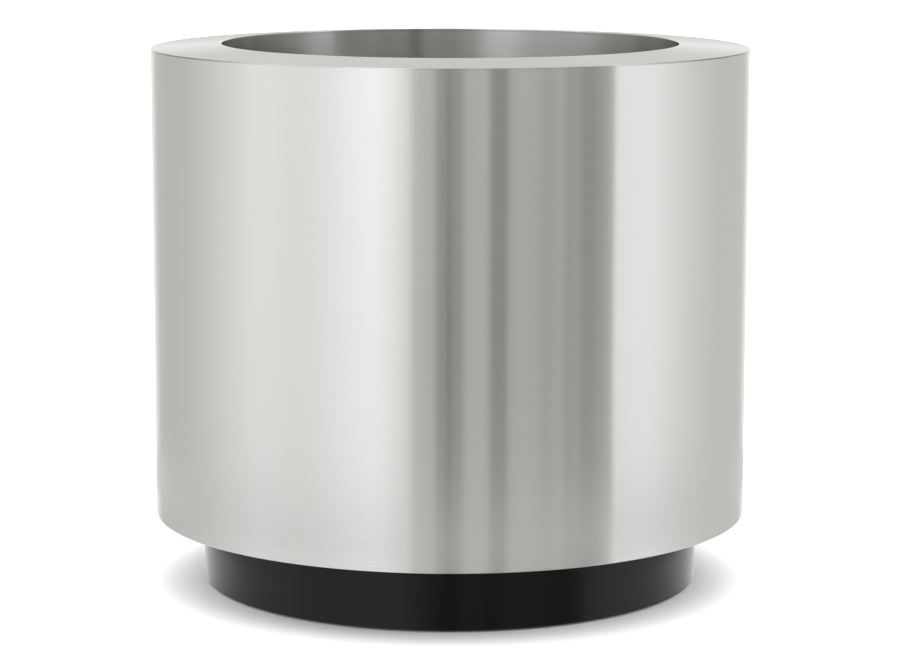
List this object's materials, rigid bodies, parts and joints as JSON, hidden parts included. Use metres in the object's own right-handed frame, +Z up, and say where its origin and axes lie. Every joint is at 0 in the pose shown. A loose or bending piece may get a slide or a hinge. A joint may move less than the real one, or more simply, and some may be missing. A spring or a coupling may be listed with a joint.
{
  "type": "champagne bucket stand",
  "caption": "Round brushed steel drum on a black recessed plinth, with a wide sloping rim whose bucket lifts straight out.",
  "frame": {"origin": "centre of the underside, on the surface that the feet stand on", "axes": "+Z up along the drum's axis; the drum is round, so +X and +Y are free, with the shell's seam at the back on +Y"},
  "size_m": [0.26, 0.26, 0.236],
  "materials": {
    "brushed_shell": "satin",
    "brushed_rim": "satin",
    "brushed_well": "satin",
    "plain_steel": "matte",
    "fastener_steel": "satin",
    "black_paint": "satin",
    "black_rubber": "matte",
    "black_foam": "matte"
  },
  "bodies": {
    "stand": {"outer_shell": "brushed_shell", "top_ledge": "plain_steel", "seat_gasket": "black_rubber", "insulation_half_left": "black_foam", "insulation_half_right": "black_foam", "insulation_pad": "black_foam", "drum_floor": "plain_steel", "plinth_studs": "fastener_steel", "plinth_gasket": "black_rubber", "plinth_band": "black_paint", "plinth_top_plate": "black_paint", "stud_washers": "fastener_steel", "stud_nuts": "fastener_steel", "base_ledge": "black_paint", "base_cover": "black_paint", "base_cover_screws": "fastener_steel", "base_cover_nuts": "fastener_steel", "rubber_feet": "black_rubber", "foot_screws": "fastener_steel", "foot_nuts": "fastener_steel"},
    "bucket": {"bucket_rim": "brushed_rim", "bucket_wall": "brushed_well", "bucket_floor": "brushed_well", "locating_ring": "plain_steel"}
  },
  "joints": [
    {"name": "bucket_lift", "type": "slide", "parent": "stand", "child": "bucket", "axis": [0, 0, 1], "range_m": [0, 0.215]}
  ]
}
